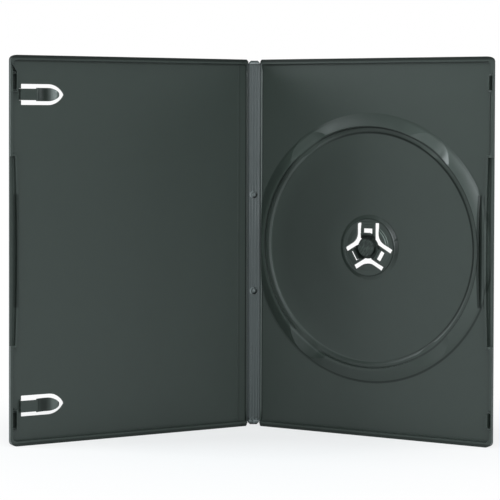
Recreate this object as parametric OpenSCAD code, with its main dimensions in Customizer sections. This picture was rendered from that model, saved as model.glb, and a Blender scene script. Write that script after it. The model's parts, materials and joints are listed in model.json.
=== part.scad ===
// Slim disc case for one 120 mm disc, standing upright and folded open in a V.
// The case is one moulding: two covers and a spine joined by thin folds.
// The origin is on the floor, under the middle of the open case. +Z runs up the spine,
// the front cover is towards -X, the disc tray towards +X, and the inside faces -Y.

/* [Case] */
// Height of the case, along the spine
case_h = 190; // [170:1:230]
// Width of each cover, from its fold-side edge to its fore-edge
cover_w = 132; // [130:0.5:160]
// Thickness of the case when it is shut
case_t = 7; // [6.6:0.1:12]
// How far each cover stands forward of flat, in degrees
open_angle = 31; // [5:0.1:60]

/* [Covers] */
// Thickness of the cover panels
panel_t = 1; // [0.8:0.05:1.3]
// Width of the rim along the fore-edge
rim_side = 1.3; // [1:0.1:1.8]
// Width of the rims along the top and bottom
rim_end = 2.4; // [1.6:0.1:4]
// Gap between the two rims when the case is shut
rim_gap = 0.2; // [0.1:0.05:0.4]
// Rounding of the outer edges, top, bottom and fore-edge
edge_r = 1.5; // [0.5:0.1:1.8]
// Corner radius of a cover at the fore-edge
corner_r = 3.5; // [2:0.1:6]
// Corner radius of a cover at the fold
fold_corner_r = 1; // [0.3:0.1:2]
// Width of the raised band beside the fold of the front cover
band_w = 4.3; // [2:0.1:8]
// Height of that band above the panel
band_h = 0.25; // [0.1:0.05:0.6]

/* [Folds and spine] */
// Thickness of the web at a fold
web_t = 0.4; // [0.3:0.05:0.6]
// Width of the thin web strip between a fold line and its cover
strip_w = 1.95; // [1.6:0.05:3]
// Distance from a fold line to the spine's thick part
fold_groove = 0.425; // [0.4:0.025:0.8]
// Radius of the rounded fold line
fold_bead_r = 0.25; // [0.2:0.05:0.35]
// Clearance between a fold line and the cover's web
fold_clear = 0.1; // [0.05:0.05:0.2]
// Thickness of the spine
spine_t = 1.1; // [0.8:0.1:1.6]
// How much shorter the spine is than the covers, at each end
spine_gap = 0.5; // [0.3:0.1:3]
// Chamfer of the spine's corners
spine_chamfer = 1.1; // [0.5:0.1:2.4]
// How far the webs stop short of the covers' ends
web_gap = 0.8; // [0.6:0.1:4]
// Number of lengthwise ribs on the spine
rib_count = 3; // [1:1:5]
// Distance between those ribs
rib_pitch = 1.45; // [1:0.05:1.6]
// Radius of a rib's rounded top
rib_r = 0.4; // [0.2:0.05:0.6]
// Height of a rib above the spine
rib_h = 0.14; // [0.05:0.01:0.3]
// Width of the lip across each end of the spine
lip_w = 1.3; // [0.5:0.1:2]
// Height of that lip above the spine
lip_h = 0.3; // [0.1:0.05:0.6]
// Distance from the spine's end to that lip
lip_inset = 0.75; // [0.4:0.05:2]
// Radius of the two gate dimples in the spine
dimple_r = 1.95; // [1:0.05:2.5]
// Depth of a gate dimple
dimple_depth = 0.35; // [0.1:0.05:0.6]
// Distance between the two gate dimples
dimple_pitch = 50; // [20:1:100]

/* [Thumb recess] */
// Length of the thumb recess in each fore-edge
thumb_len = 91.8; // [60:0.2:110]
// Width of the channel between the lowered rim and the inner rib
thumb_channel = 1.15; // [0.8:0.05:4]
// Height of the lowered rim above the panel
thumb_lip_h = 0.9; // [0.4:0.1:1.6]
// Thickness of the inner rib and of the recess's end walls
thumb_rib_t = 1.1; // [0.6:0.1:1.3]
// How far the inner rib bows inwards at its middle
thumb_bow = 1; // [0.4:0.1:1.6]

/* [Latches] */
// Distance from the end of the case to the middle of a latch
latch_inset = 12.9; // [10:0.1:20]
// Length of a latch tab on the tray
tab_len = 6.6; // [4:0.1:8]
// Thickness of a latch tab
tab_t = 1.1; // [0.8:0.1:1.4]
// Height of a latch tab above the tray's panel
tab_h = 3.5; // [2.8:0.1:4]
// Clearance round a tab in its slot
tab_clear = 0.4; // [0.3:0.05:0.8]
// Thickness of the slot's walls
slot_wall = 0.6; // [0.5:0.1:1]
// Height of the small end posts beside a tab
post_h = 1.2; // [0.6:0.1:2]
// Thickness of the tray's rim behind a tab
latch_skin = 0.5; // [0.4:0.1:0.8]
// Length of the release groove between a latch and the thumb recess
release_len = 31; // [10:1:34]
// Width of that groove
release_w = 0.5; // [0.4:0.1:0.8]
// Depth of that groove in the panel
release_depth = 0.4; // [0.2:0.05:0.5]

/* [Disc well] */
// Diameter of the disc
disc_d = 120; // [120:0.5:121]
// Clearance round the disc at the top of the well
disc_clear = 0.7; // [0.4:0.1:1.2]
// Distance from the tray's fold-side edge to the middle of the well
well_x = 63; // [62:0.5:66]
// Height of the ring's crest above the panel
ring_h = 2; // [1.4:0.1:2.1]
// Width of the ring's sloping outer side
ring_slope = 6.2; // [4:0.1:8]
// Width of the ring's flat crest
crest_w = 0.6; // [0.4:0.1:1.5]
// Width of the ledge inside the crest
ledge_w = 2.9; // [1.5:0.1:4]
// Height of that ledge above the panel
ledge_h = 0.5; // [0.3:0.1:1]
// Width of the slope from the ledge down to the well's floor
ledge_slope = 1.2; // [0.4:0.1:2]
// Distance from the fore-edge to the ring's flat side
ring_flat = 7.6; // [6.5:0.1:9]
// Angle of the finger scoops above and below the middle line
scoop_angle = 54.9; // [40:0.1:60]
// Radius of a finger scoop across
scoop_r = 45; // [30:1:70]
// Height of a scoop's lowest line above the panel
scoop_floor = 0.12; // [0.05:0.01:0.3]

/* [Hub] */
// Height of the disc seat above the panel
seat_h = 1.9; // [1.5:0.1:2]
// Outer radius of the disc seat
seat_r = 10.2; // [9:0.1:10.8]
// Height of each of the two steps outside the seat
seat_step = 0.22; // [0.1:0.02:0.3]
// Width of the slope of each step
seat_step_w = 0.6; // [0.3:0.1:0.8]
// Distance between the two steps
seat_step_pitch = 1.1; // [0.8:0.1:1.4]
// Outer radius of the hub's pad
pad_r = 14.4; // [14:0.1:16]
// Height of the small drop at the pad's edge
pad_drop = 0.4; // [0.2:0.05:0.6]
// Width of the slope round the pad
pad_slope = 2; // [0.8:0.1:2.5]
// Thickness of the walls under the pad
pad_wall = 0.8; // [0.6:0.1:1.2]
// Thickness of a finger's arm at its fold line
arm_t = 1; // [0.8:0.1:1.2]
// Thickness of an arm's inner end, under the button's flange
arm_end_t = 0.45; // [0.35:0.05:0.6]
// Width of a finger's arm
arm_w = 7.8; // [6:0.1:8]
// Distance from the hub's middle to a finger's fold line
arm_root = 12.6; // [12:0.1:13]
// Width of the slot on each side of an arm
slot_w = 2.3; // [1.5:0.1:2.6]
// Fillet radius where two slots meet
slot_fillet = 6; // [3:0.5:9]
// Radius of the hub button
button_r = 4.6; // [3.5:0.1:4.8]
// Height of the button above the panel
button_h = 4.1; // [3.4:0.1:4.3]
// Radius of the button's flange
flange_r = 5.6; // [5.2:0.1:6]
// Thickness of the button's flange
flange_t = 0.45; // [0.3:0.05:0.6]
// Radius of the button's collar under the arms
collar_r = 5.3; // [5:0.1:5.6]
// Thickness of the button's collar
collar_t = 0.3; // [0.2:0.05:0.4]
// Clearance between the hub's moving pieces
hub_clear = 0.3; // [0.2:0.05:0.4]
// Clearance at a fold line and under the flange
seat_clear = 0.1; // [0.05:0.01:0.15]
// Radius of the finger hooks that hold the disc
hook_r = 7.55; // [7.5:0.01:7.8]
// Thickness of a disc
disc_t = 1.2; // [1.1:0.1:1.3]
// Thickness of a hook
hook_t = 0.85; // [0.6:0.05:1]
// How far a hook reaches out past its tooth
hook_lap = 0.65; // [0.4:0.05:0.8]
// Slope along a hook's upper edges
hook_slope = 0.3; // [0.1:0.05:0.4]
// How far a hook's rounded corners reach out past its middle
hook_reach = 0.25; // [0.1:0.05:0.4]
// Thickness of a tooth
tooth_t = 1; // [0.8:0.1:1.2]
// Width of a tooth
tooth_w = 5.7; // [4.5:0.1:6.2]
// How far a tooth reaches past its window on each side
tooth_lap = 0.2; // [0.1:0.05:0.4]
// Width of the land between a tooth and its window
tooth_fillet = 0.1; // [0.05:0.05:0.3]
// Outer radius of a finger's window
window_r = 9.55; // [9:0.05:9.9]

/* [Booklet clips] */
// Distance from the end of the case to the middle of a clip
clip_inset = 19.1; // [15:0.1:30]
// Distance from the fore-edge to a clip's window
clip_edge = 6.5; // [6:0.1:12]
// Length of a clip's window
window_len = 22.6; // [18:0.2:30]
// Width of a clip's window
window_w = 10.2; // [9:0.1:13]
// Length of the window's pointed end
window_tip = 8; // [5:0.1:10]
// Radius of the window's rounded end
window_nose_r = 1.3; // [1:0.1:4]
// Width of a clip's arm
clip_w = 5.6; // [4:0.1:6]
// Width of a clip's tip
clip_tip_w = 6.5; // [5:0.1:7.4]
// Height of a clip's arm above the panel
clip_h = 2.05; // [1.4:0.05:2.1]
// Thickness of a clip
clip_t = 0.85; // [0.6:0.05:1]
// Length of a clip's flat arm
clip_flat = 8.3; // [5:0.1:10]
// Length of a clip's dipped tip
clip_dip = 11; // [8:0.1:14]
// Depth of the dip
clip_dip_h = 1.5; // [0.8:0.1:1.6]
// Length of the rounded nose past the dip
clip_nose = 1.3; // [0.8:0.1:2]
// Radius of the clip's rounded end, seen from the front
clip_nose_r = 1.4; // [1:0.1:2.4]
// Radius of the rounded fold line at a clip's root
clip_root_r = 0.45; // [0.3:0.05:0.5]

/* [Hidden] */

// Overlap that makes a cut run cleanly past a face
cut = 1;
// Smoothness of the circles and of the curves drawn as points
$fn = 64;
dip_steps = 12;
bullet_steps = 8;
slope_steps = 6;

// Moulded polypropylene, as the photo shows it
case_grey = [0.25, 0.28, 0.27];

// Lying flat, a cover has its fold line on the Y axis and its inside facing up
fold_x = (case_t - web_t) / 2;
outer_z = -web_t / 2;
inner_z = outer_z + panel_t;
rim_z = fold_x - rim_gap / 2;
edge_x = strip_w;
fore_x = strip_w + cover_w;
mid_y = case_h / 2;

// The open case is centred front to back on the origin
front_reach = fore_x * sin(open_angle) + rim_z * cos(open_angle);
depth_shift = (front_reach + outer_z) / 2;

spine_w = 2 * (fold_x - fold_groove);
well_r = disc_d / 2 + disc_clear;
floor_r = well_r - ledge_w;
ring_out_r = well_r + crest_w + ring_slope;
well_cx = edge_x + well_x;
rib_inner_x = fore_x - rim_side - thumb_channel;
slot_end = arm_root - arm_t / 4;
pad_h = seat_h - 2 * seat_step;
pad_under = pad_h - arm_t;
hook_under = seat_h + disc_t + seat_clear;
finger_angles = [90, 210, 330];
clip_root_x = fore_x - clip_edge + clip_root_r + seat_clear;
clip_ys = [clip_inset, case_h - clip_inset];
latch_ys = [latch_inset, case_h - latch_inset];
tab_x = fore_x - rim_side - tab_clear - tab_t;

// Stands the flat-lying drawing up, folds it to the open angle and puts it at its fold line
module tray_side() {
  translate([fold_x, depth_shift, 0])
    rotate([0, 0, -open_angle])
      rotate([90, 0, 0])
        children();
}

module front_side() {
  mirror([1, 0, 0]) tray_side() children();
}

// Waste left between a square corner at the origin and a round one
module corner_waste(r) {
  difference() {
    translate([-cut, -cut]) square(r + cut);
    translate([r, r]) circle(r);
  }
}

// Rectangle with its near corners rounded by r_near and its far ones by r_far
module plate_2d(x0, x1, y0, y1, r_near, r_far) {
  difference() {
    translate([x0, y0]) square([x1 - x0, y1 - y0]);
    translate([x0, y0]) corner_waste(r_near);
    translate([x0, y1]) mirror([0, 1]) corner_waste(r_near);
    translate([x1, y0]) mirror([1, 0]) corner_waste(r_far);
    translate([x1, y1]) mirror([1, 0]) mirror([0, 1]) corner_waste(r_far);
  }
}

// Block of a cover before it is hollowed, with its outer edges rounded
module cover_block() {
  intersection() {
    translate([0, 0, outer_z])
      linear_extrude(rim_z - outer_z)
        plate_2d(edge_x, fore_x, 0, case_h, fold_corner_r, corner_r);
    translate([0, case_h, 0])
      rotate([90, 0, 0])
        linear_extrude(case_h)
          difference() {
            translate([edge_x, outer_z]) square([cover_w, rim_z - outer_z]);
            translate([fore_x, outer_z]) mirror([1, 0]) corner_waste(edge_r);
          }
    rotate([90, 0, 90])
      linear_extrude(fore_x + cut)
        difference() {
          translate([0, outer_z]) square([case_h, rim_z - outer_z]);
          translate([0, outer_z]) corner_waste(edge_r);
          translate([case_h, outer_z]) mirror([1, 0]) corner_waste(edge_r);
        }
  }
}

// Thin web from the fold line to the cover's panel
module cover_web() {
  web_start = fold_bead_r + fold_clear;
  translate([web_start, web_gap, outer_z])
    cube([edge_x + cut - web_start, case_h - 2 * web_gap, web_t]);
}

// Plan of the thumb recess: the channel between the lowered rim and the bowed rib
module thumb_channel_2d() {
  bow_r = (thumb_len * thumb_len / 4 + thumb_bow * thumb_bow) / (2 * thumb_bow);
  intersection() {
    translate([rib_inner_x - thumb_bow, mid_y - thumb_len / 2])
      square([thumb_channel + thumb_bow, thumb_len]);
    translate([rib_inner_x - thumb_bow + bow_r, mid_y]) circle(bow_r, $fn = 720);
  }
}

// Rib and end walls that close the inside off from the thumb recess
module thumb_rib() {
  wall_len = thumb_len + 2 * thumb_rib_t;
  translate([0, 0, inner_z - cut / 2])
    linear_extrude(rim_z - inner_z + cut / 2)
      difference() {
        intersection() {
          translate([rib_inner_x - thumb_bow - thumb_rib_t, mid_y - wall_len / 2])
            square([thumb_channel + thumb_bow + thumb_rib_t + cut / 2, wall_len]);
          union() {
            translate([-thumb_rib_t, 0]) thumb_channel_2d();
            translate([rib_inner_x - thumb_rib_t, mid_y - wall_len / 2])
              square([thumb_channel + thumb_rib_t + cut / 2, wall_len]);
          }
        }
        thumb_channel_2d();
      }
}

// A cover's tray shape: panel, three rims, the web and the thumb recess
module cover_shell() {
  difference() {
    union() {
      difference() {
        cover_block();
        translate([0, 0, inner_z])
          linear_extrude(rim_z)
            plate_2d(
              edge_x - cut, fore_x - rim_side,
              rim_end, case_h - rim_end,
              fold_corner_r / 2, corner_r - rim_side
            );
      }
      thumb_rib();
    }
    translate([fore_x - rim_side - cut / 4, mid_y - thumb_len / 2, inner_z + thumb_lip_h])
      cube([rim_side + cut, thumb_len, rim_z]);
  }
  cover_web();
}

// One side of a bullet shape: a straight side, a long arc and a round nose at x_tip
function bullet_side(x_root, x_tip, width, tip_len, nose_r) =
  let (
    half_w = width / 2,
    reach = tip_len - nose_r,
    arc_r = (reach * reach + half_w * half_w - nose_r * nose_r) / (2 * (half_w - nose_r)),
    turn = atan2(reach, arc_r - half_w),
    shoulder = x_tip + tip_len
  )
  concat(
    [[x_root, half_w]],
    [for (i = [0:bullet_steps])
      let (a = turn * i / bullet_steps)
        [shoulder - arc_r * sin(a), half_w - arc_r + arc_r * cos(a)]],
    [for (i = [1:bullet_steps])
      let (a = turn + (90 - turn) * i / bullet_steps)
        [x_tip + nose_r - nose_r * sin(a), nose_r * cos(a)]]
  );

// Plan of a bullet shape pointing along -X
module bullet_2d(x_root, x_tip, width, tip_len, nose_r) {
  side = bullet_side(x_root, x_tip, width, tip_len, nose_r);
  far_side = [for (i = [len(side) - 2:-1:0]) [side[i][0], -side[i][1]]];
  polygon(concat(side, far_side));
}

// Opening for a booklet clip, with room for the clip's root
module clip_window() {
  window_x = fore_x - clip_edge;
  translate([0, 0, outer_z - cut])
    linear_extrude(panel_t + 2 * cut)
      bullet_2d(window_x, window_x - window_len, window_w, window_tip, window_nose_r);
  root_room = clip_root_r + seat_clear;
  translate([window_x - cut, -clip_w / 2 - seat_clear, outer_z - cut])
    cube([clip_root_x + root_room - window_x + cut, clip_w + 2 * seat_clear, panel_t + 2 * cut]);
}

// Height of a clip's top face along the dip, with t running from 0 to 1
function dip_z(t) = clip_h - clip_dip_h * (1 - (2 * t - 1) * (2 * t - 1));

// Side view of a clip's top face, from its root to its nose
function clip_top(x0) = concat(
  [[x0, clip_h], [x0 - clip_flat, clip_h]],
  [for (i = [1:dip_steps]) [x0 - clip_flat - clip_dip * i / dip_steps, dip_z(i / dip_steps)]],
  [for (a = [30, 60, 90]) [
    x0 - clip_flat - clip_dip - clip_nose * sin(a),
    clip_h - clip_nose * (1 - cos(a)) / 2
  ]]
);

// A sprung tongue: fold line, riser, flat arm, and a tip that dips and lifts
module booklet_clip() {
  riser_x = clip_root_x + clip_root_r;
  top = clip_top(riser_x);
  under = [for (i = [len(top) - 1:-1:1]) top[i] - [0, clip_t]];
  nose_x = riser_x - clip_flat - clip_dip - clip_nose;
  translate([0, 0, inner_z]) {
    intersection() {
      translate([0, clip_tip_w / 2, 0])
        rotate([90, 0, 0])
          linear_extrude(clip_tip_w)
            polygon(concat(
              top, under,
              [[riser_x - clip_t, clip_h - clip_t], [riser_x - clip_t, -panel_t / 2]],
              [[riser_x, -panel_t / 2]]
            ));
      translate([0, 0, -panel_t])
        linear_extrude(clip_h + panel_t + cut)
          union() {
            bullet_2d(riser_x - clip_flat, nose_x, clip_tip_w, clip_dip / 2, clip_nose_r);
            translate([riser_x - clip_flat - cut / 2, -clip_w / 2])
              square([clip_flat + cut / 2, clip_w]);
          }
    }
    translate([clip_root_x, clip_w / 2, -panel_t / 2])
      rotate([90, 0, 0])
        cylinder(r = clip_root_r, h = clip_w);
  }
}

// Slot in the front cover that takes one of the tray's latch tabs
module latch_slot() {
  slot_x = tab_x - tab_clear;
  slot_len = tab_len + 2 * tab_clear;
  outer_len = slot_len + 4 * slot_wall;
  difference() {
    translate([slot_x - slot_wall, -outer_len / 2, inner_z - cut / 2])
      cube([fore_x - rim_side / 2 - slot_x + slot_wall, outer_len, rim_z - inner_z + cut / 2]);
    translate([slot_x, -slot_len / 2, inner_z])
      cube([fore_x - rim_side - slot_x, slot_len, rim_z]);
    for (side = [-1, 1])
      translate([slot_x, side * (slot_len + 2 * slot_wall) / 2 - slot_wall / 2, inner_z + post_h])
        cube([fore_x - rim_side - slot_x, slot_wall, rim_z]);
  }
}

// Latch tab on the tray, with its two end posts
module latch_tab() {
  post_y = tab_len / 2 + tab_clear + slot_wall / 2;
  translate([tab_x, -tab_len / 2, inner_z - cut / 2])
    cube([tab_t, tab_len, tab_h + cut / 2]);
  for (side = [-1, 1])
    translate([tab_x, side * post_y - slot_wall / 2, inner_z - cut / 2])
      cube([fore_x - rim_side / 2 - tab_x, slot_wall, post_h + cut / 2]);
}

// Cuts in the tray's rim round a latch: room behind the tab and a slit past each post
module latch_relief() {
  room_len = tab_len + 2 * tab_clear;
  slit_y = room_len / 2 + 1.5 * slot_wall;
  relief_w = rim_side - latch_skin + cut;
  translate([fore_x - rim_side - cut, -room_len / 2, inner_z])
    cube([relief_w, room_len, rim_z]);
  for (side = [-1, 1])
    translate([fore_x - rim_side - cut, side * slit_y - slot_wall / 2, inner_z])
      cube([relief_w, slot_wall, rim_z]);
}

// Release groove in the tray's panel, from the upper latch towards the thumb recess
module release_groove() {
  groove_end = case_h - latch_inset - tab_len / 2 - tab_clear - 2 * slot_wall;
  translate([rib_inner_x - thumb_rib_t / 4, groove_end - release_len, inner_z - release_depth])
    cube([release_w, release_len, panel_t]);
}

// Half section of the disc ring, from its foot over the crest to the well's floor
function ring_slope_points() = [
  for (i = [0:slope_steps])
    let (t = i / slope_steps)
      [ring_out_r - ring_slope * t, ring_h * t * (1.3 - 0.3 * t)]
];

module ring_section() {
  polygon(concat(
    [[floor_r, -panel_t / 2], [ring_out_r, -panel_t / 2]],
    ring_slope_points(),
    [[well_r, ring_h], [well_r, ledge_h], [floor_r + ledge_slope, ledge_h], [floor_r, 0]]
  ));
}

// Raised ring round the disc, flat beside the fore-edge, with four finger scoops
module disc_ring() {
  translate([well_cx, mid_y, inner_z])
    difference() {
      rotate_extrude() ring_section();
      translate([cover_w - ring_flat - well_x, -ring_out_r - cut, -panel_t])
        cube([ring_out_r, 2 * (ring_out_r + cut), ring_h + 2 * panel_t]);
      translate([-ring_out_r - cut - well_x, -ring_out_r - cut, -panel_t])
        cube([ring_out_r + cut, 2 * (ring_out_r + cut), ring_h + 2 * panel_t]);
      for (side = [-1, 1])
        for (a = [scoop_angle, 180 - scoop_angle])
          rotate([0, 0, side * a])
            translate([floor_r - cut, 0, scoop_floor + scoop_r])
              rotate([0, 90, 0])
                cylinder(r = scoop_r, h = ring_out_r - floor_r + 2 * cut, $fn = 180);
    }
}

// Top of the hub's pad, from r_in out to r_out: the disc seat and two small steps down
function seat_points(r_in, r_out) = [
  [r_in, seat_h],
  [seat_r, seat_h],
  [seat_r + seat_step_w, seat_h - seat_step],
  [seat_r + seat_step_pitch, seat_h - seat_step],
  [seat_r + seat_step_pitch + seat_step_w, pad_h],
  [r_out, pad_h]
];

// Half section of the hub's pad: seat, edge drop, slope and the skirt down to the panel
module pad_section() {
  foot_r = pad_r + pad_slope;
  skirt_r = pad_r - pad_wall;
  polygon(concat(
    seat_points(0, pad_r),
    [
      [pad_r, pad_h - pad_drop],
      [foot_r, 0],
      [foot_r, -panel_t],
      [skirt_r, -panel_t],
      [skirt_r, pad_under],
      [0, pad_under]
    ]
  ));
}

// Plan of the opening round one finger: the arm, a slot on each side, the rounded corner
module finger_opening_2d() {
  half_w = arm_w / 2 + slot_w;
  corner_d = half_w / sin(60);
  tangent = slot_fillet / tan(60);
  translate([0, -half_w]) square([slot_end, 2 * half_w]);
  rotate(60)
    difference() {
      polygon([
        [corner_d - 0.01, 0],
        [corner_d + tangent * cos(60), tangent * sin(60)],
        [corner_d + tangent * cos(60), -tangent * sin(60)]
      ]);
      translate([corner_d + slot_fillet / sin(60), 0]) circle(slot_fillet);
    }
}

// Raised pad in the middle of the well, opened for the fingers and the button
module hub_pad() {
  half_w = arm_w / 2 + slot_w;
  translate([well_cx, mid_y, inner_z])
    difference() {
      union() {
        rotate_extrude() pad_section();
        for (a = finger_angles)
          rotate([0, 0, a])
            translate([slot_end, -half_w, -panel_t])
              cube([pad_wall, 2 * half_w, panel_t + pad_under + arm_t / 2]);
      }
      for (a = finger_angles)
        rotate([0, 0, a]) {
          translate([0, 0, -panel_t - cut])
            linear_extrude(panel_t + seat_h + 2 * cut) finger_opening_2d();
          translate([arm_root, arm_w / 2 + seat_clear, pad_under + arm_t / 2])
            rotate([90, 0, 0])
              cylinder(r = arm_t / 2 + seat_clear, h = arm_w + 2 * seat_clear);
        }
    }
}

// Arm of a finger: the pad's own section, thin under the button's flange
module finger_arm() {
  inner_r = button_r + hub_clear;
  step_r = flange_r + hub_clear;
  intersection() {
    rotate_extrude()
      polygon(concat(
        [[inner_r, pad_under], [inner_r, pad_under + arm_end_t], [step_r, pad_under + arm_end_t]],
        seat_points(step_r, arm_root),
        [[arm_root, pad_under]]
      ));
    translate([0, -arm_w / 2, 0]) cube([slot_end, arm_w, seat_h + cut]);
  }
  translate([slot_end - arm_t, -arm_w / 2, pad_under]) cube([arm_root - slot_end + arm_t, arm_w, arm_t]);
  translate([arm_root, arm_w / 2, pad_under + arm_t / 2])
    rotate([90, 0, 0])
      cylinder(r = arm_t / 2, h = arm_w);
}

// A hub finger lying along +X from the hub's middle: arm, window, tooth and hook
module hub_finger() {
  tooth_end = hook_r - hook_lap;
  tooth_x = tooth_end - tooth_t;
  window_x = tooth_end + tooth_fillet;
  half_window = tooth_w / 2 - tooth_lap;
  difference() {
    union() {
      finger_arm();
      intersection() {
        translate([tooth_x, tooth_w / 2, 0])
          rotate([90, 0, 0])
            linear_extrude(tooth_w)
              polygon([
                [0, seat_h - arm_t / 2],
                [tooth_t, seat_h - arm_t / 2],
                [tooth_t, hook_under],
                [tooth_t + hook_lap, hook_under],
                [tooth_t + hook_lap - hook_slope, hook_under + hook_t],
                [hook_slope, hook_under + hook_t],
                [0, hook_under + hook_t - hook_slope]
              ]);
        cylinder(r = hook_r + hook_reach, h = hook_under + hook_t + cut);
      }
    }
    translate([window_x, -half_window, pad_under - cut])
      cube([window_r - window_x, 2 * half_window, seat_h - pad_under + cut + hub_clear / 2]);
  }
}

module placed_finger(index) {
  color(case_grey)
    tray_side()
      translate([well_cx, mid_y, inner_z])
        rotate([0, 0, finger_angles[index]])
          hub_finger();
}

module placed_clip(index) {
  color(case_grey)
    front_side()
      translate([0, clip_ys[index], 0])
        booklet_clip();
}

// Plan of the spine with its corners cut off
module spine_2d() {
  half_w = spine_w / 2;
  low = spine_gap;
  high = case_h - spine_gap;
  polygon([
    [-half_w + spine_chamfer, low], [half_w - spine_chamfer, low],
    [half_w, low + spine_chamfer], [half_w, high - spine_chamfer],
    [half_w - spine_chamfer, high], [-half_w + spine_chamfer, high],
    [-half_w, high - spine_chamfer], [-half_w, low + spine_chamfer]
  ]);
}

// Lengthwise ribs between the two end lips
module spine_ribs(face_z) {
  start = spine_gap + lip_inset + lip_w;
  for (i = [0:rib_count - 1])
    translate([(i - (rib_count - 1) / 2) * rib_pitch, start, face_z + rib_h - rib_r])
      rotate([-90, 0, 0])
        cylinder(r = rib_r, h = case_h - 2 * start);
}

module spine() {
  face_z = outer_z + spine_t;
  color(case_grey)
    translate([0, depth_shift, 0])
      rotate([90, 0, 0])
        difference() {
          union() {
            translate([0, 0, outer_z]) linear_extrude(spine_t) spine_2d();
            spine_ribs(face_z);
            intersection() {
              translate([0, 0, outer_z]) linear_extrude(spine_t + lip_h) spine_2d();
              for (y = [spine_gap + lip_inset, case_h - spine_gap - lip_inset - lip_w])
                translate([-spine_w, y, face_z - cut / 2])
                  cube([2 * spine_w, lip_w, lip_h + cut / 2]);
            }
            translate([-fold_x, web_gap + spine_chamfer, outer_z])
              cube([2 * fold_x, case_h - 2 * web_gap - 2 * spine_chamfer, web_t]);
            for (side = [-1, 1])
              translate([side * fold_x, web_gap, 0])
                rotate([-90, 0, 0])
                  cylinder(r = fold_bead_r, h = case_h - 2 * web_gap);
          }
          for (side = [-1, 1])
            translate([0, mid_y + side * dimple_pitch / 2, face_z - dimple_depth])
              cylinder(r = dimple_r, h = cut);
        }
}

module front_cover() {
  color(case_grey)
    front_side()
      difference() {
        union() {
          cover_shell();
          translate([edge_x, rim_end / 2, inner_z - cut / 2])
            cube([band_w, case_h - rim_end, band_h + cut / 2]);
          for (y = latch_ys) translate([0, y, 0]) latch_slot();
        }
        for (y = clip_ys) translate([0, y, 0]) clip_window();
      }
}

module back_cover() {
  color(case_grey)
    tray_side()
      union() {
        difference() {
          cover_shell();
          translate([well_cx, mid_y, outer_z - cut])
            cylinder(r = pad_r + pad_slope / 2, h = panel_t + 2 * cut);
          for (y = latch_ys) translate([0, y, 0]) latch_relief();
          release_groove();
        }
        disc_ring();
        hub_pad();
        for (y = latch_ys) translate([0, y, 0]) latch_tab();
      }
}

module booklet_clip_lower() {
  placed_clip(0);
}

module booklet_clip_upper() {
  placed_clip(1);
}

// Domed button, with a flange over the arms and a collar under them
module hub_button() {
  flange_z = pad_under + arm_end_t + seat_clear;
  collar_z = pad_under - hub_clear;
  color(case_grey)
    tray_side()
      translate([well_cx, mid_y, inner_z])
        rotate_extrude()
          polygon([
            [0, collar_z - collar_t],
            [collar_r, collar_z - collar_t],
            [collar_r, collar_z],
            [button_r, collar_z],
            [button_r, flange_z],
            [flange_r, flange_z],
            [flange_r, flange_z + flange_t],
            [button_r, flange_z + flange_t],
            [button_r, button_h - 0.5],
            [button_r - 0.15, button_h - 0.3],
            [button_r - 0.5, button_h - 0.18],
            [button_r * 0.6, button_h - 0.06],
            [0, button_h]
          ]);
}

module hub_finger_top() {
  placed_finger(0);
}

module hub_finger_left() {
  placed_finger(1);
}

module hub_finger_right() {
  placed_finger(2);
}

spine();
front_cover();
back_cover();
booklet_clip_upper();
booklet_clip_lower();
hub_button();
hub_finger_top();
hub_finger_left();
hub_finger_right();
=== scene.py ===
# %% [markdown]
# # A slim disc case, standing open
# The case is one thin moulding of dark grey polypropylene: a front cover, a spine and a
# disc tray, joined by folds that are only a few tenths of a millimetre thick. The solids come
# from the CAD model. This lesson dresses them: it softens their edges, adds the flexing
# webs at the folds, and gives the plastic its satin grain. It starts with the camera and the
# lamps, so that each later step can be looked at in the photograph's own view and light.

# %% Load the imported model
import bpy
import bmesh
import math
import json
from mathutils import Vector, Matrix

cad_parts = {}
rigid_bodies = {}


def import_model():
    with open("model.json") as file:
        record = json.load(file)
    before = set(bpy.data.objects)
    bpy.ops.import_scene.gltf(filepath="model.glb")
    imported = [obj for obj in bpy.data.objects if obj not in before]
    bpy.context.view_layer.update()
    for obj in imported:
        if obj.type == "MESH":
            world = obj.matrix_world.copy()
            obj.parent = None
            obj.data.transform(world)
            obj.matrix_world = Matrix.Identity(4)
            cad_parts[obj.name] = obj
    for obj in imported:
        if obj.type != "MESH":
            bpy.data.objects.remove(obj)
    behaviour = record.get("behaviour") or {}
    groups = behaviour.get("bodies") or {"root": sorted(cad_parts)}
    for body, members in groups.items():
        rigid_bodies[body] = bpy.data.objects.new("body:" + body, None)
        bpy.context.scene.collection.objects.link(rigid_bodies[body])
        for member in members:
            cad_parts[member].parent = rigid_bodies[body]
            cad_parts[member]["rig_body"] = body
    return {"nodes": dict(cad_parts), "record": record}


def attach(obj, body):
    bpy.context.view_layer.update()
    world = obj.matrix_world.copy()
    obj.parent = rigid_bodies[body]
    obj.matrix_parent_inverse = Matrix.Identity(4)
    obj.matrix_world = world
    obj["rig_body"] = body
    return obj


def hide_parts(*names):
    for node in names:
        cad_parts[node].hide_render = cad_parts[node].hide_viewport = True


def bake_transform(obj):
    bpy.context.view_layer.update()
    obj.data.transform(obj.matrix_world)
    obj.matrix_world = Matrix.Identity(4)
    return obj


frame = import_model()
nodes = frame["nodes"]
scene = bpy.context.scene
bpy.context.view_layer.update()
print("CAD nodes:", sorted(nodes))

# %% [markdown]
# ## The driving sizes
# The case was drawn lying flat, so most of its sizes are simplest there: X runs away from a
# fold line, Y up the case, and Z above the folds. They are the CAD model's sizes, in metres,
# and `on_cover` folds a flat place up to where it stands in the open case. The finished objects
# stay unturned, so that patterns on them don't slide.

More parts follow.
